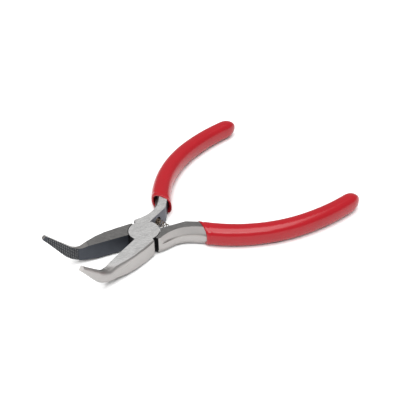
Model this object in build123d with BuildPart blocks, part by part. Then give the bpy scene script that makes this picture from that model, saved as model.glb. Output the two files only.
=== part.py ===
from build123d import *
import os
from math import cos, radians, sin

# Bent-nose mini pliers, 125 mm long: two lap-jointed levers on a flush pivot rivet, a return
# spring between the tangs, and a dipped sleeve on each handle.
# Millimetres. +Z up, the pivot axis is Z, the underside of the head is z = 0, the jaws point to -X.
# The levers are drawn closed, with the gripping faces meeting on y = 0, and then swung to rest.
# "hand" is -1 for the upper lever, with its jaw on -Y and its handle on +Y, and 1 for the lower
# lever, its mirror image but for the lap joint.

UPPER, LOWER = -1, 1

# head and lap joint
thickness = 6.8            # from the underside to the ground top
rest_opening = 33.7        # angle between the levers once the spring has opened them
boss_radius = 5.9
hollow_radius = 6.2        # in which the other lever's boss turns
lap_gap = 0.06             # between the two half-thickness bosses
half_lap = thickness / 2
face_gap = 0.02            # from each gripping face to the plane where the jaws meet
shoulder_x = 3.1           # shoulders stand this far from the pivot, the jaw's and the tang's
shoulder_y = 6.9
shoulder_root = (2.1, 5.2)
shoulder_reach = 1.5       # the shoulder's cut runs this many times its length past the root

# jaws: the centre line runs straight from the pivot, bends upwards and runs straight to the tip
bend_start = 22.95
bend_radius = 9.0
bend_angle = 48.5
jaw_crown = 0.94           # height above the centre line at the outer edge, as a share of the inner
bevel_bulge = 0.12
face_overlap = 0.5         # the blank reaches past the gripping face, which is cut flat

# distance along the centre line, height above it, depth below it, width of the top, full width,
# drop from the top to the widest line, radius of the lower outer edge
jaw_stations = (
    (0.0, 3.65, 3.55, 6.15, 6.90, 0.4, 0.4),
    (8.5, 3.65, 3.55, 5.95, 6.60, 0.8, 0.8),
    (14.0, 3.65, 3.55, 5.50, 5.95, 1.6, 1.2),
    (18.0, 3.65, 3.50, 4.60, 5.10, 2.4, 1.6),
    (22.0, 3.45, 2.95, 3.25, 3.90, 2.9, 1.8),
    (26.5, 2.80, 2.30, 1.90, 3.05, 2.5, 1.6),
    (31.5, 2.10, 2.00, 1.35, 2.45, 1.9, 1.3),
    (37.0, 1.50, 1.45, 1.15, 2.05, 1.3, 0.9),
    (43.1, 0.95, 0.90, 0.95, 1.75, 0.7, 0.6),
)
jaw_steps = 3              # sections drawn from each station to the next
jaw_length = jaw_stations[-1][0]
ground_to_x = -24.5        # the head is ground flat from here to the handles

# seat of the diamond teeth on the gripping faces
teeth_start_x = -26.2
teeth_to_tip = 1.5         # plain patch left at the tip
teeth_depth = 0.2

# tangs
tang_inner = 1.3           # from the middle plane to a tang's inner face
tang_bend_x = 16.4         # where the inner face leaves the middle plane
tang_bend_radius = 2.0
tang_mouth = (21.8, 4.1)   # on the inner face, where the sleeve starts
tang_waist = (11.5, 5.6)
tang_into_sleeve = 8.0     # the tang runs this far along the handle's centre line
tang_end_inner = 2.35      # from that line to the tang's sides, at its end
tang_end_outer = 2.3
tang_bevel_in = 0.4        # of the bevel on a tang's lower outer edge
tang_bevel_up = 1.4
relief_bottom = 3.6        # above this height the outer side is cut back, past the shoulder
relief_start = 4.6
relief_inset = (0.4, 1.5)  # at the foot of the relief and above the ground top

# return spring and its pockets in the tangs
spring_reach = 11.0        # from the pivot to the pockets, on a closed lever
pocket_radius = 1.9
pocket_depth = 1.7
spring_radius = 1.1        # to the middle of the wire
spring_wire = 0.4
spring_pitch = 1.3
spring_length = 10.6
spring_x = 9.9             # of its axis, at rest

# cuts
cut_reach = 9.0            # a box that trims the blank reaches this far past it
blank_top = 3 * thickness  # above the upturned tips
lead = 1.0                 # a cut starts this far outside the face that it enters

# pivot rivet, flush at both ends
rivet_radius = 2.0
rivet_head_radius = 2.8
rivet_head_depth = 1.0
rivet_clearance = 0.03     # running fit in the upper lever

# handles: the centre line is two arcs that start at the root, near the head
handle_root = (18.4, 4.37)
handle_angle = 40.8
near_bend, near_length = 57.0, 43.0
far_bend, handle_length = 82.0, 72.0
core_half_width = (1.7, 1.8)           # at the sleeve's mouth and at its end
core_half_height = (3.2, 2.75)
core_start, core_end = 7.0, handle_length - 4.0
core_corner = 0.5                      # corner radius as a share of the half width
sleeve_half_width = (3.91, 3.27)
sleeve_half_height = (4.07, 3.77)
sleeve_corner = 0.78
sleeve_start = -4.0                    # the blank starts before the mouth is cut
mouth_x = 21.5                         # measured on a closed handle
handle_steps = 14
mouth_depth = 12.0                     # the sleeve is loose on the tang this far in
mouth_taper = 8.8                      # from here its cavity narrows onto the core
trim_reach = 40.0                      # half the box that trims the blank at the mouth
mouth_half_width = 2.8
mouth_half_height = half_lap + 0.06
mouth_corner = 0.33
fit_gap = 0.05                         # between the core and the sleeve beyond the mouth
dome_length = 4.6                      # of the rounded end
dome_angles = (28, 52, 70, 82)         # sections of the dome, seen from its centre


def between(ends, share):
    return ends[0] + (ends[1] - ends[0]) * min(max(share, 0), 1)


def jaw_plane(distance, hand):
    """Section plane of a jaw: local x points out from the gripping face, local y upwards."""
    bend_length = bend_radius * radians(bend_angle)
    turn = min(max(distance - bend_start, 0), bend_length) / bend_radius
    straight = min(distance, bend_start)
    beyond = max(distance - bend_start - bend_length, 0)
    x = -straight - bend_radius * sin(turn) - beyond * cos(turn)
    z = half_lap + bend_radius * (1 - cos(turn)) + beyond * sin(turn)
    return Plane(origin=(x, 0, z), x_dir=(0, hand, 0), z_dir=(hand * cos(turn), 0, -hand * sin(turn)))


def jaw_section(hand, distance, above, below, top_width, full_width, drop, lower_round):
    """Flat on the gripping side, bevelled above and rounded below on the outer side."""
    edge = above * jaw_crown
    bulge = bevel_bulge * drop
    middle = ((top_width + full_width) / 2 + bulge, edge - drop / 2 + bulge / 2)
    with BuildSketch(jaw_plane(distance, hand)) as section:
        with BuildLine():
            Polyline((full_width - lower_round, -below), (-face_overlap, -below), (-face_overlap, above),
                     (top_width, edge))
            ThreePointArc((top_width, edge), middle, (full_width, edge - drop))
            Line((full_width, edge - drop), (full_width, lower_round - below))
            RadiusArc((full_width, lower_round - below), (full_width - lower_round, -below), lower_round)
        make_face()
    return section.sketch.face()


def jaw(hand):
    """Forged jaw, from the pivot to the tip, with the shoulder cut on its outer side."""
    sections = []
    for near, far in zip(jaw_stations, jaw_stations[1:]):
        for step in range(jaw_steps):
            station = [between(pair, step / jaw_steps) for pair in zip(near, far)]
            sections.append(jaw_section(hand, *station))
    sections.append(jaw_section(hand, *jaw_stations[-1]))
    loft(sections=sections, ruled=True)
    root_x, root_y = shoulder_root
    out_x = root_x + shoulder_reach * (shoulder_x - root_x)
    out_y = root_y + shoulder_reach * (shoulder_y - root_y)
    corners = ((-root_x, root_y), (-out_x, out_y), (root_x, out_y), (root_x, root_y))
    with BuildSketch(Plane.XY.offset(-lead)) as waste:
        Polygon(*[(x, hand * y) for x, y in corners], align=None)
    extrude(waste.sketch, amount=thickness + 2 * lead, dir=(0, 0, 1), mode=Mode.SUBTRACT)


def handle_point(distance):
    """A point of the upper handle's centre line, and its direction in radians."""
    near_turn = min(distance, near_length) / near_bend
    far_turn = max(distance - near_length, 0) / far_bend
    start = radians(handle_angle)
    middle = start - near_turn
    end = middle - far_turn
    x = handle_root[0] + near_bend * (sin(start) - sin(middle)) + far_bend * (sin(middle) - sin(end))
    y = handle_root[1] + near_bend * (cos(middle) - cos(start)) + far_bend * (cos(end) - cos(middle))
    return (x, y), end


def handle_plane(distance, hand):
    """Section plane of a handle: local x lies across it, local y points up."""
    (x, y), direction = handle_point(distance)
    along = (cos(direction), -hand * sin(direction), 0)
    return Plane(origin=(x, -hand * y, half_lap), x_dir=(-along[1], along[0], 0), z_dir=along)


def handle_section(distance, hand, half_width, half_height, corner):
    with BuildSketch(handle_plane(distance, hand)) as section:
        RectangleRounded(2 * half_width, 2 * half_height, corner * min(half_width, half_height))
    return section.sketch.face()


def handle_sections(hand, start, end, half_widths, half_heights, corner):
    """Even sections of a handle between two distances along its centre line."""
    sections = []
    for step in range(handle_steps + 1):
        distance = between((start, end), step / handle_steps)
        share = distance / handle_length
        half_width, half_height = between(half_widths, share), between(half_heights, share)
        sections.append(handle_section(distance, hand, half_width, half_height, corner))
    return sections


def handle_core(hand, grow, mode):
    """Steel core of a handle, grown on all sides where it is taken out of the sleeve."""
    widths = [half + grow for half in core_half_width]
    heights = [half + grow for half in core_half_height]
    sections = handle_sections(hand, core_start - grow, core_end + grow, widths, heights, core_corner)
    loft(sections=sections, ruled=True, mode=mode)


def relief_section(hand, height, inset):
    """Area outside a tang's outer side moved inwards, fading out at the shoulder."""
    (end_x, end_y), direction = handle_point(tang_into_sleeve)
    reach = tang_end_outer - inset
    end = (end_x - reach * sin(direction), -hand * (end_y + reach * cos(direction)))
    start = (relief_start - inset, -hand * (shoulder_y + inset / 4))
    outside = -hand * (shoulder_y + cut_reach)
    with BuildSketch(Plane.XY.offset(height)) as section:
        with BuildLine():
            Spline(start, (tang_waist[0], -hand * (tang_waist[1] - inset)), end)
            Polyline(end, (end[0], outside), (start[0], outside), start)
        make_face()
    return section.sketch.face()


def tang(lever, hand):
    """Tang with a flat inner face and a waisted outer side that is cut back above its flange."""
    (end_x, end_y), direction = handle_point(tang_into_sleeve)
    across = (sin(direction), -cos(direction))
    inner_end = (end_x + tang_end_inner * across[0], -hand * (end_y + tang_end_inner * across[1]))
    outer_end = (end_x - tang_end_outer * across[0], -hand * (end_y - tang_end_outer * across[1]))
    start = (0, -hand * tang_inner)
    bend = (tang_bend_x, -hand * tang_inner)
    mouth = (tang_mouth[0], -hand * tang_mouth[1])
    corner = (shoulder_x, -hand * shoulder_y)
    with BuildSketch(Plane.XY) as outline:
        with BuildLine():
            FilletPolyline(start, bend, mouth, inner_end, radius=tang_bend_radius)
            Line(inner_end, outer_end)
            Spline(
                outer_end,
                (tang_waist[0], -hand * tang_waist[1]),
                corner,
                tangents=((-cos(direction), hand * sin(direction)), (-1, 0)),
            )
            Polyline(corner, (shoulder_root[0], -hand * shoulder_root[1]), start)
        make_face()
    extrude(outline.sketch, amount=thickness)
    outside = lever.faces().filter_by(GeomType.EXTRUSION).sort_by(SortBy.AREA)[-1]
    lower_edge = outside.edges().group_by(Axis.Z)[0]
    chamfer(lower_edge, length=tang_bevel_up, length2=tang_bevel_in, reference=outside)
    foot = relief_section(hand, relief_bottom, relief_inset[0])
    above = relief_section(hand, thickness + lead, relief_inset[1])
    loft(sections=[foot, above], ruled=True, mode=Mode.SUBTRACT)


def cut_box(low, high):
    """Removes the box between two corners."""
    size = [b - a for a, b in zip(low, high)]
    with BuildSketch(Plane.XY.offset(low[2])) as base:
        with Locations((low[0] + size[0] / 2, low[1] + size[1] / 2)):
            Rectangle(size[0], size[1])
    extrude(base.sketch, amount=size[2], mode=Mode.SUBTRACT)


def disc(radius, bottom, top, mode=Mode.ADD):
    with BuildSketch(Plane.XY.offset(bottom)) as circle:
        Circle(radius)
    extrude(circle.sketch, amount=top - bottom, mode=mode)


def rivet_shape(grow, mode=Mode.ADD):
    """Turned profile of the rivet, with a flush conical head at each end."""
    shank, head = rivet_radius + grow, rivet_head_radius + grow
    with BuildSketch(Plane.XZ) as profile:
        Polygon(
            (0, 0),
            (head, 0),
            (shank, rivet_head_depth),
            (shank, thickness - rivet_head_depth),
            (head, thickness),
            (0, thickness),
            align=None,
        )
    revolve(profile.sketch, axis=Axis.Z, mode=mode)


def teeth_seat(hand):
    """Recess on the gripping face, as deep as the teeth that fill it."""
    top = jaw_plane(jaw_length - teeth_to_tip, hand)
    ends = (top.origin + top.y_dir * cut_reach, top.origin - top.y_dir * cut_reach)
    with BuildSketch(Plane.XZ.offset(-hand * (face_gap + teeth_depth))) as region:
        Polygon(
            (teeth_start_x, -cut_reach),
            (teeth_start_x, blank_top),
            *[(end.X, end.Z) for end in ends],
            align=None,
        )
    extrude(region.sketch, amount=lead, dir=(0, -hand, 0), mode=Mode.SUBTRACT)


def lever(builder, hand):
    """One closed lever: its half-thickness boss is in the upper or the lower half of the head."""
    jaw(hand)
    face = hand * face_gap
    past_face = face - hand * lead
    cut_box((-jaw_length, min(face, past_face), -cut_reach), (0, max(face, past_face), blank_top))
    cut_box((ground_to_x, -cut_reach, thickness), (lead, cut_reach, blank_top))
    cut_box((-jaw_length, -cut_reach, -cut_reach), (lead, cut_reach, 0))
    teeth_seat(hand)
    tang(builder, hand)
    handle_core(hand, 0, Mode.ADD)
    lap = half_lap - hand * lap_gap / 2
    if hand == UPPER:
        disc(hollow_radius, -lead, lap, Mode.SUBTRACT)
        disc(boss_radius, lap, thickness)
        rivet_shape(rivet_clearance, Mode.SUBTRACT)
    else:
        disc(hollow_radius, lap, thickness + lead, Mode.SUBTRACT)
        disc(boss_radius, 0, lap)
        rivet_shape(0, Mode.SUBTRACT)
    with BuildSketch(Plane.XZ.offset(hand * (tang_inner - lead))) as pocket:
        with Locations((spring_reach, half_lap)):
            Circle(pocket_radius)
    extrude(pocket.sketch, amount=pocket_depth + lead, dir=(0, -hand, 0), mode=Mode.SUBTRACT)


def sleeve(hand):
    """Dipped sleeve: a tube on the handle's core with a domed end and a loose mouth."""
    dome_start = handle_length - dome_length
    sections = handle_sections(
        hand, sleeve_start, dome_start, sleeve_half_width, sleeve_half_height, sleeve_corner
    )
    for angle in dome_angles:
        distance = dome_start + dome_length * sin(radians(angle))
        shrink = cos(radians(angle))
        half_width, half_height = sleeve_half_width[1] * shrink, sleeve_half_height[1] * shrink
        sections.append(handle_section(distance, hand, half_width, half_height, sleeve_corner))
    loft(sections=sections, ruled=True)
    mouth = []
    for distance, loose in ((sleeve_start - lead, 1), (0, 1), (mouth_taper, 1), (mouth_depth, 0)):
        half_width = between((core_half_width[0], mouth_half_width), loose)
        half_height = between((core_half_height[0], mouth_half_height), loose)
        mouth.append(handle_section(distance, hand, half_width, half_height, mouth_corner))
    loft(sections=mouth, ruled=True, mode=Mode.SUBTRACT)
    handle_core(hand, fit_gap, Mode.SUBTRACT)
    cut_box((-trim_reach, -trim_reach, -trim_reach), (mouth_x, trim_reach, trim_reach))


def write(node, label):
    node.part.label = label
    export_step(node.part, f"parts/{label}.step")


os.makedirs("parts", exist_ok=True)

with BuildPart() as upper_closed:
    lever(upper_closed, UPPER)

with BuildPart() as upper_lever:
    add(upper_closed.part, rotation=(0, 0, rest_opening / 2))
write(upper_lever, "upper_lever")

with BuildPart() as lower_closed:
    lever(lower_closed, LOWER)

with BuildPart() as lower_lever:
    add(lower_closed.part, rotation=(0, 0, -rest_opening / 2))
write(lower_lever, "lower_lever")

with BuildPart() as upper_sleeve_closed:
    sleeve(UPPER)

with BuildPart() as upper_grip:
    add(upper_sleeve_closed.part, rotation=(0, 0, rest_opening / 2))
write(upper_grip, "upper_grip")

with BuildPart() as lower_sleeve_closed:
    sleeve(LOWER)

with BuildPart() as lower_grip:
    add(lower_sleeve_closed.part, rotation=(0, 0, -rest_opening / 2))
write(lower_grip, "lower_grip")

with BuildPart() as pivot_rivet:
    rivet_shape(0)
write(pivot_rivet, "pivot_rivet")

with BuildPart() as return_spring:
    with BuildLine() as coil:
        Helix(
            spring_pitch,
            spring_length,
            spring_radius,
            center=(spring_x, -spring_length / 2, half_lap),
            direction=(0, 1, 0),
        )
    with BuildSketch(Plane(origin=coil.line @ 0, z_dir=coil.line % 0)):
        Circle(spring_wire / 2)
    sweep(is_frenet=True)
write(return_spring, "return_spring")
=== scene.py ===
from math import ceil, cos, pi, radians, sin

import bmesh
import bpy
from mathutils import Matrix, Vector


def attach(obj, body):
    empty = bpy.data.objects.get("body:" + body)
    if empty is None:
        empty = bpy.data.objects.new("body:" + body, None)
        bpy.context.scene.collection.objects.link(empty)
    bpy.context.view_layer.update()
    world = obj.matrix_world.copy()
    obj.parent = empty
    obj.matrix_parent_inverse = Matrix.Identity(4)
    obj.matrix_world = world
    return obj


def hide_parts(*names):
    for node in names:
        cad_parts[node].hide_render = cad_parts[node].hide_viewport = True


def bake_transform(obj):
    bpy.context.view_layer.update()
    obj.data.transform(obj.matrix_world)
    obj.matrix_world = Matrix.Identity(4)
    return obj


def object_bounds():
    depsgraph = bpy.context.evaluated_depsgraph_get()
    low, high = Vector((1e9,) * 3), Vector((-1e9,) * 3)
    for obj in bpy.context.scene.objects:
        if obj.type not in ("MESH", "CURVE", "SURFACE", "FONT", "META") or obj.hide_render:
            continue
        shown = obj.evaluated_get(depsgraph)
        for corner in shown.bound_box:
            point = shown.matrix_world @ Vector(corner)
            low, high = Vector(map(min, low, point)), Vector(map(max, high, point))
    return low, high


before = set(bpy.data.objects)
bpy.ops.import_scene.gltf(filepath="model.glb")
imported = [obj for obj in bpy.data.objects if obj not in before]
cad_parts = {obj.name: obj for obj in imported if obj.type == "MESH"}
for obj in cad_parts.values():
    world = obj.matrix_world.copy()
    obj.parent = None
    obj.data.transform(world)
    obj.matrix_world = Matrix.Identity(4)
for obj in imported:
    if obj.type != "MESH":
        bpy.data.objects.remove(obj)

# Bent-nose mini pliers. The frame's steel levers and rivet are kept and get their materials here.
# The diamond teeth, the return spring and the two dipped sleeves are modelled here.
# Lengths are in millimetres up to the moment a mesh is made, as in the frame's own drawing.
# The floor, the lights and the camera are in metres.

CAD_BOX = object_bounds()
MM = 0.001
UPPER, LOWER = -1, 1
BODY = {UPPER: "upper", LOWER: "lower"}
SWING = {UPPER: radians(16.85), LOWER: radians(-16.85)}   # of each lever, from closed to rest

THICKNESS = 6.8
HALF_LAP = THICKNESS / 2
FACE_GAP = 0.02
HALVINGS = 30              # of a range, when a crossing is looked for

# jaw centre line, as the frame has it
BEND_START, BEND_RADIUS, BEND_ANGLE = 22.95, 9.0, radians(48.5)
JAW_LENGTH = 43.1
JAW_DEPTHS = (             # distance from the pivot, and the jaw's height above and below its centre line
    (22.0, 3.45, 2.95),
    (26.5, 2.80, 2.30),
    (31.5, 2.10, 2.00),
    (37.0, 1.50, 1.45),
    (JAW_LENGTH, 0.95, 0.90),
)

# teeth
TEETH_START_X = -26.2
TEETH_START_RANGE = (22.5, 31.0)   # distances from the pivot between which they begin
TEETH_TO_TIP = 1.5
TEETH_EDGE = 0.012         # bare edge above and below, as a share of the jaw's height
TEETH_SEAT = 0.2
TEETH_RIM_SINK = 0.01      # by which their rim is let into the seat's floor
TEETH_DEPTH = 0.17
TEETH_PITCH = 0.72
TEETH_ANGLE = radians(50)
TEETH_FLATNESS = 1.25      # above 1, the tops of the teeth are cut flat
TEETH_GRID = 0.09
TEETH_FIELD = (24.0, 5.2)  # start and height of the field, from which the grid is counted
CREST_SHARE = 0.62         # of a tooth's height, from which it is rubbed bright

# handle centre line: two bends, each with its radius and the distance at which it ends
HANDLE_ROOT = (18.4, 4.37)
HANDLE_ANGLE = radians(40.8)
NEAR_BEND, NEAR_LENGTH = 57.0, 43.0
FAR_BEND, HANDLE_LENGTH = 82.0, 72.0

# sleeves
SLEEVE_WIDTHS = (3.91, 3.27)       # half width at the root and at the end
SLEEVE_HEIGHTS = (4.07, 3.77)      # half height at the same places
SLEEVE_POWER = 2.5         # 2 is an ellipse, and more is squarer
SLEEVE_SIDES = 72
SLEEVE_STEPS = 70
MOUTH_X = 21.1
MOUTH_RANGE = (-6.0, 12.0)         # distances along the handle between which the mouth's plane lies
MOUTH_RINGS = (            # distance past the mouth's plane and inset of the skin, from inside outwards
    (9.0, 1.9), (5.0, 1.3), (2.0, 1.02), (0.55, 0.92),
    (0.18, 0.80), (0.03, 0.60), (0.0, 0.40), (0.05, 0.18), (0.22, 0.05), (0.55, 0.0),
    (1.1, 0.0), (1.45, 0.05), (1.75, 0.10), (2.1, 0.06), (2.6, 0.0),
)
DOME_LENGTH = 6.0
DOME_STEPS = 14

# return spring
SPRING_X = 10.35
SPRING_HALF_SPAN = 5.35
SPRING_BOW = 24.0          # radius of its bowed axis
SPRING_RADIUS = 1.1        # to the middle of the wire
SPRING_WIRE = 0.2          # radius of the wire
SPRING_TURNS = 6           # open ones
SPRING_END_TURNS = 1.5     # closed ones at each end
SPRING_END_PITCH = 2.2 * SPRING_WIRE
SPRING_STEPS = 28          # along each turn
SPRING_SIDES = 10

# floor, light and camera
FLOOR_SIZE = 30.0
FLOOR_DROP = 0.0001
WORLD_STRENGTH = 0.42
CAMERA_PLACE = (-0.17240, -0.23898, 0.23613)
AZIMUTH, ELEVATION, ROLL = radians(-39.975), radians(36.266), radians(-1.246)
LENS, SENSOR, CLIP_START = 88.79, 36, 0.01


def swung(point, hand):
    """A point of a closed lever, at rest and in metres."""
    x, y, z = point
    turn = SWING[hand]
    return Vector((x * cos(turn) - y * sin(turn), x * sin(turn) + y * cos(turn), z)) * MM


def crossing(measure, low, high):
    """Where a measure that falls along this range passes zero."""
    for _ in range(HALVINGS):
        middle = (low + high) / 2
        if measure(middle) > 0:
            low = middle
        else:
            high = middle
    return middle


def new_piece(name, points, faces, body, material, smooth=True):
    mesh = bpy.data.meshes.new(name)
    mesh.from_pydata(points, [], faces)
    mesh.update()
    piece = bpy.data.objects.new(name, mesh)
    bpy.context.scene.collection.objects.link(piece)
    for polygon in mesh.polygons:
        polygon.use_smooth = smooth
    mesh.materials.append(material)
    if body:
        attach(piece, body)
    return piece


def tube_faces(rings, sides):
    """Faces between rings of points that follow each other."""
    faces = []
    for k in range(rings - 1):
        for i in range(sides):
            a, b = k * sides + i, k * sides + (i + 1) % sides
            faces.append((a, b, b + sides, a + sides))
    return faces


def outward(piece):
    """Makes the faces of a mesh point outwards."""
    work = bmesh.new()
    work.from_mesh(piece.data)
    bmesh.ops.recalc_face_normals(work, faces=work.faces)
    work.to_mesh(piece.data)
    work.free()


# ---------------------------------------------------------------- materials

class Nodes:
    """Short hand for a material's node tree."""

    def __init__(self, name):
        self.material = bpy.data.materials.new(name)
        self.material.use_nodes = True
        self.tree = self.material.node_tree
        self.shader = self.tree.nodes["Principled BSDF"]

    def add(self, kind, **settings):
        node = self.tree.nodes.new(kind)
        for key, value in settings.items():
            setattr(node, key, value)
        return node

    def join(self, source, target):
        self.tree.links.new(source, target)

    def fill(self, socket, value):
        if isinstance(value, bpy.types.NodeSocket):
            self.join(value, socket)
        else:
            socket.default_value = value

    def surface(self, **values):
        """Fills the shader's own sockets: base_color, metallic, roughness, specular_ior_level."""
        titles = {"specular_ior_level": "Specular IOR Level"}
        for key, value in values.items():
            self.fill(self.shader.inputs[titles.get(key, key.replace("_", " ").title())], value)

    def math(self, operation, a, b=0.0):
        node = self.add("ShaderNodeMath", operation=operation)
        self.fill(node.inputs[0], a)
        self.fill(node.inputs[1], b)
        return node.outputs[0]

    def times(self, a, b):
        return self.math("MULTIPLY", a, b)

    def plus(self, a, b):
        return self.math("ADD", a, b)

    def either(self, a, b):
        return self.math("MAXIMUM", a, b)

    def outside(self, a):
        return self.math("SUBTRACT", 1.0, a)

    def step(self, value, low, high):
        """0 below low and 1 above high, smooth between them."""
        node = self.add("ShaderNodeMapRange", interpolation_type="SMOOTHSTEP")
        self.fill(node.inputs["Value"], value)
        node.inputs["From Min"].default_value = low
        node.inputs["From Max"].default_value = high
        return node.outputs["Result"]

    def fall(self, value, low, high):
        """1 below low and 0 above high, smooth between them."""
        return self.step(self.times(value, -1.0), -high, -low)

    def scale(self, value, low, high):
        """A value of 0 to 1 taken to this range."""
        node = self.add("ShaderNodeMapRange")
        self.fill(node.inputs["Value"], value)
        node.inputs["To Min"].default_value = low
        node.inputs["To Max"].default_value = high
        return node.outputs["Result"]

    def mix(self, share, a, b):
        node = self.add("ShaderNodeMix", data_type="RGBA")
        self.fill(node.inputs["Factor"], share)
        self.fill(node.inputs["A"], a)
        self.fill(node.inputs["B"], b)
        return node.outputs["Result"]

    def place(self, turn=0.0, size=(1, 1, 1), tilt=(0, 0, 0)):
        """Position on the piece in millimetres, turned about Z, tilted and stretched."""
        vector = self.add("ShaderNodeTexCoord").outputs["Object"]
        for rotation, scale in (((0, 0, turn), (1 / MM,) * 3), (tilt, (1, 1, 1)), ((0, 0, 0), size)):
            mapping = self.add("ShaderNodeMapping")
            mapping.inputs["Rotation"].default_value = rotation
            mapping.inputs["Scale"].default_value = scale
            self.join(vector, mapping.inputs["Vector"])
            vector = mapping.outputs[0]
        return vector

    def normal(self, turn=0.0):
        where = self.add("ShaderNodeTexCoord").outputs["Normal"]
        node = self.add("ShaderNodeVectorRotate", rotation_type="Z_AXIS")
        node.inputs["Angle"].default_value = turn
        self.join(where, node.inputs["Vector"])
        return node.outputs[0]

    def split(self, vector):
        node = self.add("ShaderNodeSeparateXYZ")
        self.join(vector, node.inputs[0])
        return node.outputs

    def noise(self, vector, scale, detail, rough=0.6):
        node = self.add("ShaderNodeTexNoise")
        self.join(vector, node.inputs["Vector"])
        node.inputs["Scale"].default_value = scale
        node.inputs["Detail"].default_value = detail
        node.inputs["Roughness"].default_value = rough
        return node.outputs["Fac"]

    def bump(self, height, strength, distance):
        node = self.add("ShaderNodeBump")
        node.inputs["Strength"].default_value = strength
        node.inputs["Distance"].default_value = distance * MM
        self.join(height, node.inputs["Height"])
        self.join(node.outputs[0], self.shader.inputs["Normal"])


def tint(colour, factor):
    return tuple(channel * factor for channel in colour[:3]) + (1,)


SATIN = (0.40, 0.385, 0.375, 1)
SATIN_PATCH, SATIN_SPECK = tint(SATIN, 0.78), tint(SATIN, 0.6)
# the lower lever's ground faces are painted a darker grey than the upper's: painted shade on the same steel
GROUND_WITH_SHADE = {UPPER: (0.43, 0.426, 0.422, 1), LOWER: (0.125, 0.122, 0.119, 1)}
STREAK_DARK, STREAK_LIGHT, PIT_DARK = 0.52, 1.20, 0.55   # of the ground face's colour
OXIDE = (0.030, 0.034, 0.042, 1)
OXIDE_WORN = tint(OXIDE, 1.7)
# painted shade on the tang's inner faces, which face the other lever, lightened at random by grain
TANG_SHADE = (0.075, 0.077, 0.092, 1)
TANG_SHADE_WORN = tint(TANG_SHADE, 1.9)
# painted shade: near black in the lap and the shoulders' crevices
LAP_SHADE = (0.012, 0.012, 0.014, 1)
GROOVE_DARK, GROOVE_LIGHT = (0.010, 0.011, 0.014, 1), (0.028, 0.030, 0.036, 1)
CREST_DARK, CREST_LIGHT = (0.16, 0.165, 0.17, 1), (0.30, 0.30, 0.30, 1)
VINYL_DARK, VINYL_LIGHT = (0.285, 0.0028, 0.0075, 1), (0.345, 0.0040, 0.0105, 1)
VINYL_SPECK = (0.52, 0.03, 0.04, 1)
WIRE_DARK, WIRE_LIGHT = (0.05, 0.04, 0.032, 1), (0.26, 0.20, 0.15, 1)
FLOOR_DARK, FLOOR_LIGHT = (0.88, 0.88, 0.88, 1), (0.91, 0.91, 0.91, 1)

# where a finish begins and ends: the first four are shares of a normal, and the rest are in millimetres
FLAT_NORMAL = (0.965, 0.995)
GRIP_NORMAL = (0.85, 0.95)
INNER_NORMAL = (0.35, 0.55)
SHOULDER_NORMAL = (0.7, 0.85)
TOP_BAND = (THICKNESS - 0.35, THICKNESS - 0.12)
UNDER_BAND = (0.1, 0.3)
JAW_SIDE = (-0.5, 0.0)
TANG_SIDE = (0.5, 1.0)
LAP_REACH = (6.25, 6.5)
SHOULDER_REACH = (3.3, 3.6)

# how strongly the patterns show: the edges of a step, a share of a mix, or a range
STREAK_EDGES = (0.36, 0.66)
PIT_EDGES, PIT_SHARE = (0.62, 0.72), 0.35
PATCH_SHARE, SPECK_SHARE = 0.45, 0.3
TANG_SHADE_WORN_SHARE, OXIDE_WORN_SHARE = 0.8, 0.9
STEEL_ROUGHNESS, GRAIN_ROUGHNESS, BLACK_ROUGHNESS = (0.36, 0.62), (-0.04, 0.08), 0.10
BLACK_METALLIC = 0.55
GRAIN_HEIGHT = 0.45
TOOTH_ROUGHNESS = (0.35, 0.55)
WIRE_ROUGHNESS = (0.22, 0.40)
VINYL_ROUGHNESS = (0.19, 0.29)
VINYL_SPECK_EDGES, VINYL_SPECK_SHARE = (0.6, 0.8), 0.12
VINYL_FINE_HEIGHT = 0.15

BRUSH_ANGLE = radians(38)
BRUSH_STRETCH = (0.45, 6.5, 6.5)
GROUND_DULLING = 0.6       # taken off the metallic value of the ground faces, which otherwise blow out


def steel_regions(m, turn, hand):
    """Masks of the ground faces, the gripping face, the tang's inner side, and the lap with its shoulders;
    the last two are for painted shade.
    """
    x, y, z = m.split(m.place(turn))
    nx, ny, nz = m.split(m.normal(turn))
    top = m.times(m.step(nz, *FLAT_NORMAL), m.step(z, *TOP_BAND))
    under = m.times(m.step(m.times(nz, -1.0), *FLAT_NORMAL), m.fall(z, *UNDER_BAND))
    flat = m.either(top, under)
    grip = m.times(m.step(m.times(ny, -hand), *GRIP_NORMAL), m.fall(x, *JAW_SIDE))
    inner = m.times(m.step(m.times(ny, hand), *INNER_NORMAL), m.step(x, *TANG_SIDE))
    reach = m.math("SQRT", m.plus(m.times(x, x), m.times(y, y)))
    boss = m.times(m.fall(reach, *LAP_REACH), m.outside(flat))
    facing = m.step(m.math("ABSOLUTE", nx), *SHOULDER_NORMAL)
    near = m.fall(m.math("ABSOLUTE", x), *SHOULDER_REACH)
    shoulder = m.times(m.times(facing, near), m.outside(flat))
    return flat, grip, inner, m.either(boss, shoulder)


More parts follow.
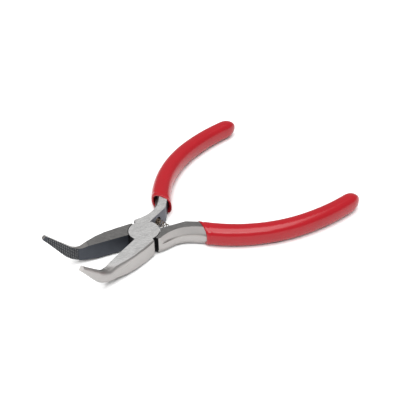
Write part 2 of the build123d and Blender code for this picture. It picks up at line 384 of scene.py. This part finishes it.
def steel(name, hand):
    """Forged steel: satin sides, a brushed ground head painted darker on the lower lever as shade,
    oxide-black gripping faces, and painted shade on the tang's inner faces and in the lap.
    """
    m = Nodes(name)
    turn = -SWING[hand]
    flat, grip, inner, lap = steel_regions(m, turn, hand)
    brushed = m.place(turn, BRUSH_STRETCH, (0, 0, BRUSH_ANGLE))
    streaks = m.noise(brushed, scale=1.3, detail=7.0, rough=0.78)
    grain = m.noise(m.place(turn), scale=3.2, detail=8.0, rough=0.75)
    patches = m.noise(m.place(turn), scale=0.35, detail=3.0)
    pits = m.noise(m.place(turn), scale=1.3, detail=3.0, rough=0.5)

    side = m.mix(m.scale(patches, 0.0, PATCH_SHARE), SATIN, SATIN_PATCH)
    side = m.mix(m.scale(grain, 0.0, SPECK_SHARE), side, SATIN_SPECK)
    # the lower lever's ground face starts from its painted-shade grey
    dark, light, pit = (tint(GROUND_WITH_SHADE[hand], factor) for factor in (STREAK_DARK, STREAK_LIGHT, PIT_DARK))
    face = m.mix(m.step(streaks, *STREAK_EDGES), dark, light)
    face = m.mix(m.times(m.step(pits, *PIT_EDGES), PIT_SHARE), face, pit)
    colour = m.mix(flat, side, face)
    # painted shade on the tang's inner faces
    colour = m.mix(inner, colour, m.mix(m.scale(grain, 0.0, TANG_SHADE_WORN_SHARE), TANG_SHADE, TANG_SHADE_WORN))
    colour = m.mix(grip, colour, m.mix(m.scale(patches, 0.0, OXIDE_WORN_SHARE), OXIDE, OXIDE_WORN))
    # painted shade in the lap and the shoulders' crevices
    colour = m.mix(lap, colour, LAP_SHADE)

    black = m.either(m.either(grip, inner), lap)
    metallic = m.math("SUBTRACT", m.scale(black, 1.0, BLACK_METALLIC), m.times(flat, GROUND_DULLING))
    rough = m.scale(m.times(streaks, flat), *STEEL_ROUGHNESS)
    rough = m.plus(rough, m.scale(grain, *GRAIN_ROUGHNESS))
    rough = m.plus(rough, m.times(black, BLACK_ROUGHNESS))
    m.surface(base_color=colour, metallic=metallic, roughness=rough)
    m.bump(m.plus(m.times(streaks, flat), m.times(grain, GRAIN_HEIGHT)), strength=0.35, distance=0.03)
    return m.material


def tooth_steel(name, dark, light, metallic):
    """Steel of the teeth, used once for the grooves and once for the crests."""
    m = Nodes(name)
    grain = m.noise(m.place(), scale=2.4, detail=6.0, rough=0.7)
    m.surface(base_color=m.mix(grain, dark, light), metallic=metallic)
    m.surface(roughness=m.scale(grain, *TOOTH_ROUGHNESS))
    m.bump(grain, strength=0.2, distance=0.02)
    return m.material


def vinyl():
    """Glossy dipped vinyl with a faint orange-peel skin."""
    m = Nodes("red_dipped_vinyl")
    cloud = m.noise(m.place(), scale=0.12, detail=3.0)
    peel = m.noise(m.place(), scale=0.9, detail=3.0, rough=0.5)
    fine = m.noise(m.place(), scale=5.0, detail=4.0)
    colour = m.mix(cloud, VINYL_DARK, VINYL_LIGHT)
    colour = m.mix(m.times(m.step(fine, *VINYL_SPECK_EDGES), VINYL_SPECK_SHARE), colour, VINYL_SPECK)
    m.surface(base_color=colour, roughness=m.scale(fine, *VINYL_ROUGHNESS), specular_ior_level=0.40)
    m.bump(m.plus(peel, m.times(fine, VINYL_FINE_HEIGHT)), strength=0.07, distance=0.06)
    return m.material


def wire():
    """Dark spring wire with worn, brownish streaks."""
    m = Nodes("spring_wire")
    grain = m.noise(m.place(), scale=6.0, detail=4.0)
    colour = m.mix(grain, WIRE_DARK, WIRE_LIGHT)
    m.surface(base_color=colour, metallic=1.0, roughness=m.scale(grain, *WIRE_ROUGHNESS))
    m.bump(grain, strength=0.15, distance=0.01)
    return m.material


def pale_floor():
    m = Nodes("pale_floor")
    cloud = m.noise(m.place(), scale=0.01, detail=2.0)
    m.surface(base_color=m.mix(cloud, FLOOR_DARK, FLOOR_LIGHT), roughness=0.9, specular_ior_level=0.1)
    return m.material


# ---------------------------------------------------------------- teeth

def jaw_axis(distance):
    """Point of a jaw's centre line in the side view, and its turn upwards."""
    bend_length = BEND_RADIUS * BEND_ANGLE
    turn = min(max(distance - BEND_START, 0), bend_length) / BEND_RADIUS
    beyond = max(distance - BEND_START - bend_length, 0)
    x = -min(distance, BEND_START) - BEND_RADIUS * sin(turn) - beyond * cos(turn)
    z = HALF_LAP + BEND_RADIUS * (1 - cos(turn)) + beyond * sin(turn)
    return x, z, turn


def jaw_point(distance, share):
    """Side-view point between the lower edge (share 0) and the upper edge (share 1) of a jaw."""
    for near, far in zip(JAW_DEPTHS, JAW_DEPTHS[1:]):
        if distance <= far[0]:
            break
    part = (distance - near[0]) / (far[0] - near[0])
    above = near[1] + (far[1] - near[1]) * part
    below = near[2] + (far[2] - near[2]) * part
    x, z, turn = jaw_axis(distance)
    height = -below + (above + below) * share
    return x + height * sin(turn), z + height * cos(turn)


def teeth_start(share):
    """Distance at which the line of this share crosses the plane where the teeth begin."""
    return crossing(lambda distance: jaw_point(distance, share)[0] - TEETH_START_X, *TEETH_START_RANGE)


def tooth_height(x, z):
    """0 in the grooves and 1 on the crests of two crossing rows of V grooves."""
    crests = []
    for side in (-1, 1):
        slope = BEND_ANGLE + side * TEETH_ANGLE
        across = (x * sin(slope) + z * cos(slope)) / TEETH_PITCH
        crests.append(1 - abs(2 * (across % 1.0) - 1))
    return min(1.0, TEETH_FLATNESS * min(crests))


def teeth(hand, groove_steel, crest_steel):
    """The toothed skin that fills the seat in a gripping face."""
    end = JAW_LENGTH - TEETH_TO_TIP
    field_start, field_height = TEETH_FIELD
    rows = ceil(field_height / TEETH_GRID)
    columns = ceil((end - field_start) / TEETH_GRID)
    seat = FACE_GAP + TEETH_SEAT
    points, faces, on_crest = [], [], []
    for j in range(rows + 1):
        share = TEETH_EDGE + (1 - 2 * TEETH_EDGE) * j / rows
        start = teeth_start(share)
        for i in range(columns + 1):
            x, z = jaw_point(start + (end - start) * i / columns, share)
            rim = i in (0, columns) or j in (0, rows)
            depth = seat + TEETH_RIM_SINK if rim else seat - TEETH_DEPTH * tooth_height(x, z)
            on_crest.append(seat - depth > CREST_SHARE * TEETH_DEPTH)
            points.append(swung((x, hand * depth, z), hand))
    width = columns + 1
    for j in range(rows):
        for i in range(columns):
            a = j * width + i
            quad = (a, a + 1, a + 1 + width, a + width)
            faces.append(quad if hand == UPPER else quad[::-1])
    piece = new_piece(BODY[hand] + "_jaw_teeth", points, faces, BODY[hand], groove_steel, smooth=False)
    piece.data.materials.append(crest_steel)
    for polygon in piece.data.polygons:
        corners = sum(on_crest[i] for i in polygon.vertices)
        polygon.material_index = 1 if corners >= 3 else 0
    return piece


# ---------------------------------------------------------------- spring

def spring_along(turn):
    """Place along the spring's axis after this many turns: closed at both ends and open between them."""
    last = SPRING_TURNS + 2 * SPRING_END_TURNS
    if turn < SPRING_END_TURNS:
        return -SPRING_HALF_SPAN + SPRING_END_PITCH * turn
    if turn > last - SPRING_END_TURNS:
        return SPRING_HALF_SPAN - SPRING_END_PITCH * (last - turn)
    open_half_span = SPRING_HALF_SPAN - SPRING_END_PITCH * SPRING_END_TURNS
    return open_half_span * (2 * (turn - SPRING_END_TURNS) / SPRING_TURNS - 1)


def spring_centre(turn):
    """Point of the wire's centre line, on an axis that is bowed because the tangs splay about the pivot."""
    along = spring_along(turn)
    x = SPRING_X - along ** 2 / (2 * SPRING_BOW)
    lean = -along / SPRING_BOW
    out, up = SPRING_RADIUS * cos(2 * pi * turn), SPRING_RADIUS * sin(2 * pi * turn)
    return Vector((x + out * cos(lean), along - out * sin(lean), HALF_LAP + up))


def spring(material):
    """Coil spring between the tangs, on a bowed axis, attached to neither body."""
    count = int((SPRING_TURNS + 2 * SPRING_END_TURNS) * SPRING_STEPS)
    line = [spring_centre(k / SPRING_STEPS) for k in range(count + 1)]
    points = []
    for k, centre in enumerate(line):
        ahead = (line[min(k + 1, count)] - line[max(k - 1, 0)]).normalized()
        side = ahead.cross(Vector((0, 1, 0))).normalized()
        up = side.cross(ahead)
        for i in range(SPRING_SIDES):
            angle = 2 * pi * i / SPRING_SIDES
            points.append((centre + (side * cos(angle) + up * sin(angle)) * SPRING_WIRE) * MM)
    faces = tube_faces(len(line), SPRING_SIDES)
    faces.append(tuple(range(SPRING_SIDES))[::-1])
    faces.append(tuple(count * SPRING_SIDES + i for i in range(SPRING_SIDES)))
    piece = new_piece("coil_spring", points, faces, None, material)
    outward(piece)
    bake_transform(piece)
    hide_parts("return_spring")
    return piece


# ---------------------------------------------------------------- sleeves

def handle_axis(distance):
    """Point of the handle's centre line on the closed pliers, on the +Y side, and its direction."""
    near_turn = min(distance, NEAR_LENGTH) / NEAR_BEND
    far_turn = max(distance - NEAR_LENGTH, 0) / FAR_BEND
    middle = HANDLE_ANGLE - near_turn
    end = middle - far_turn
    x = HANDLE_ROOT[0] + NEAR_BEND * (sin(HANDLE_ANGLE) - sin(middle)) + FAR_BEND * (sin(middle) - sin(end))
    y = HANDLE_ROOT[1] + NEAR_BEND * (cos(middle) - cos(HANDLE_ANGLE)) + FAR_BEND * (cos(end) - cos(middle))
    return x, y, end


def oval(angle, half_width, half_height):
    """Point of a sleeve's squarish oval outline."""
    c, s = cos(angle), sin(angle)
    across = half_width * abs(c) ** (2 / SLEEVE_POWER) * (1 if c >= 0 else -1)
    up = half_height * abs(s) ** (2 / SLEEVE_POWER) * (1 if s >= 0 else -1)
    return across, up


def sleeve_point(distance, across, up):
    x, y, direction = handle_axis(distance)
    return x - across * sin(direction), y + across * cos(direction), HALF_LAP + up


def mouth_distance(across):
    """Distance along the handle at which a line this far across it reaches the mouth's plane."""
    return crossing(lambda distance: MOUTH_X - sleeve_point(distance, across, 0)[0], *MOUTH_RANGE)


def sleeve_rings():
    """Rings from inside the mouth to the domed end: each one's stretch, its place there, and its inset."""
    rings = [("mouth", past, inset) for past, inset in MOUTH_RINGS]
    rings += [("body", (k + 1) / SLEEVE_STEPS, 0.0) for k in range(SLEEVE_STEPS)]
    rings += [("dome", (k + 1) / DOME_STEPS, 0.0) for k in range(DOME_STEPS - 1)]
    return rings


def ring_point(stretch, place, inset, angle):
    """Point of a sleeve's ring at this angle about the handle."""
    dome_start = HANDLE_LENGTH - DOME_LENGTH
    share = {"mouth": place / HANDLE_LENGTH, "body": place, "dome": 1.0}[stretch]
    shrink = cos(place * pi / 2) if stretch == "dome" else 1.0
    width = SLEEVE_WIDTHS[0] + (SLEEVE_WIDTHS[1] - SLEEVE_WIDTHS[0]) * share - inset
    height = SLEEVE_HEIGHTS[0] + (SLEEVE_HEIGHTS[1] - SLEEVE_HEIGHTS[0]) * share - inset
    across, up = oval(angle, width * shrink, height * shrink)
    if stretch == "dome":
        return sleeve_point(dome_start + DOME_LENGTH * sin(place * pi / 2), across, up)
    start = mouth_distance(across)
    if stretch == "mouth":
        return sleeve_point(start + place, across, up)
    body_start = start + MOUTH_RINGS[-1][0]
    return sleeve_point(body_start + (dome_start - body_start) * place, across, up)


def sleeve(hand, material):
    """Dipped vinyl sleeve: rolled thin lip, a faint bead behind it, and a domed end."""
    rings = sleeve_rings()
    side_points = [
        ring_point(*ring, 2 * pi * i / SLEEVE_SIDES)
        for ring in rings for i in range(SLEEVE_SIDES)
    ]
    end_point = sleeve_point(HANDLE_LENGTH, 0, 0)
    points = [swung((x, -hand * y, z), hand) for x, y, z in side_points + [end_point]]
    faces = tube_faces(len(rings), SLEEVE_SIDES)
    last = (len(rings) - 1) * SLEEVE_SIDES
    faces += [(last + i, last + (i + 1) % SLEEVE_SIDES, len(side_points)) for i in range(SLEEVE_SIDES)]
    piece = new_piece(BODY[hand] + "_sleeve", points, faces, BODY[hand], material)
    outward(piece)
    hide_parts(BODY[hand] + "_grip")
    return piece


# ---------------------------------------------------------------- the object

upper_steel = steel("ground_steel_upper", UPPER)
lower_steel = steel("ground_steel_lower", LOWER)
steel_nodes = {"upper_lever": upper_steel, "pivot_rivet": upper_steel, "lower_lever": lower_steel}
for node, material in steel_nodes.items():
    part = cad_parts[node]
    for slot in part.material_slots:
        slot.material = material
    if not part.material_slots:
        part.data.materials.append(material)

grooves = tooth_steel("oxide_grooves", GROOVE_DARK, GROOVE_LIGHT, metallic=0.5)
crests = tooth_steel("rubbed_crests", CREST_DARK, CREST_LIGHT, metallic=0.8)
red = vinyl()
for hand in (UPPER, LOWER):
    teeth(hand, grooves, crests)
    sleeve(hand, red)
spring(wire())

# ---------------------------------------------------------------- floor, light and camera

bpy.ops.mesh.primitive_plane_add(size=FLOOR_SIZE, location=(0, 0, CAD_BOX[0][2] - FLOOR_DROP))
floor = bpy.context.object
floor.name = "floor"
floor.data.materials.append(pale_floor())

scene = bpy.context.scene
scene.world = bpy.data.worlds.new("studio")
scene.world.use_nodes = True
background = scene.world.node_tree.nodes["Background"]
background.inputs["Color"].default_value = (1.0, 1.0, 1.0, 1)
background.inputs["Strength"].default_value = WORLD_STRENGTH
scene.view_settings.view_transform = "Standard"


def softbox(name, place, target, size, watts):
    light = bpy.data.lights.new(name, "AREA")
    light.shape = "RECTANGLE"
    light.size, light.size_y = size
    light.energy = watts
    lamp = bpy.data.objects.new(name, light)
    scene.collection.objects.link(lamp)
    lamp.location = place
    lamp.rotation_euler = (Vector(target) - Vector(place)).to_track_quat("-Z", "Y").to_euler()


softbox("overhead", place=(-0.05, -0.12, 1.0), target=(0.02, 0, 0), size=(1.15, 1.15), watts=15.5)
softbox("strip", place=(-0.28, -0.40, 0.58), target=(0.02, 0, 0), size=(0.60, 0.10), watts=1.5)
softbox("front", place=(-0.45, 0.20, 0.42), target=(-0.03, 0, 0.01), size=(0.35, 0.35), watts=0.75)

camera_data = bpy.data.cameras.new("camera")
camera_data.lens = LENS
camera_data.sensor_width = SENSOR
camera_data.clip_start = CLIP_START
camera = bpy.data.objects.new("camera", camera_data)
scene.collection.objects.link(camera)
camera.location = CAMERA_PLACE
turns = ((AZIMUTH, "Z"), (pi / 2 - ELEVATION, "X"), (ROLL, "Z"))
around, upwards, level = (Matrix.Rotation(angle, 3, axis) for angle, axis in turns)
camera.rotation_euler = (around @ upwards @ level).to_euler()
scene.camera = camera
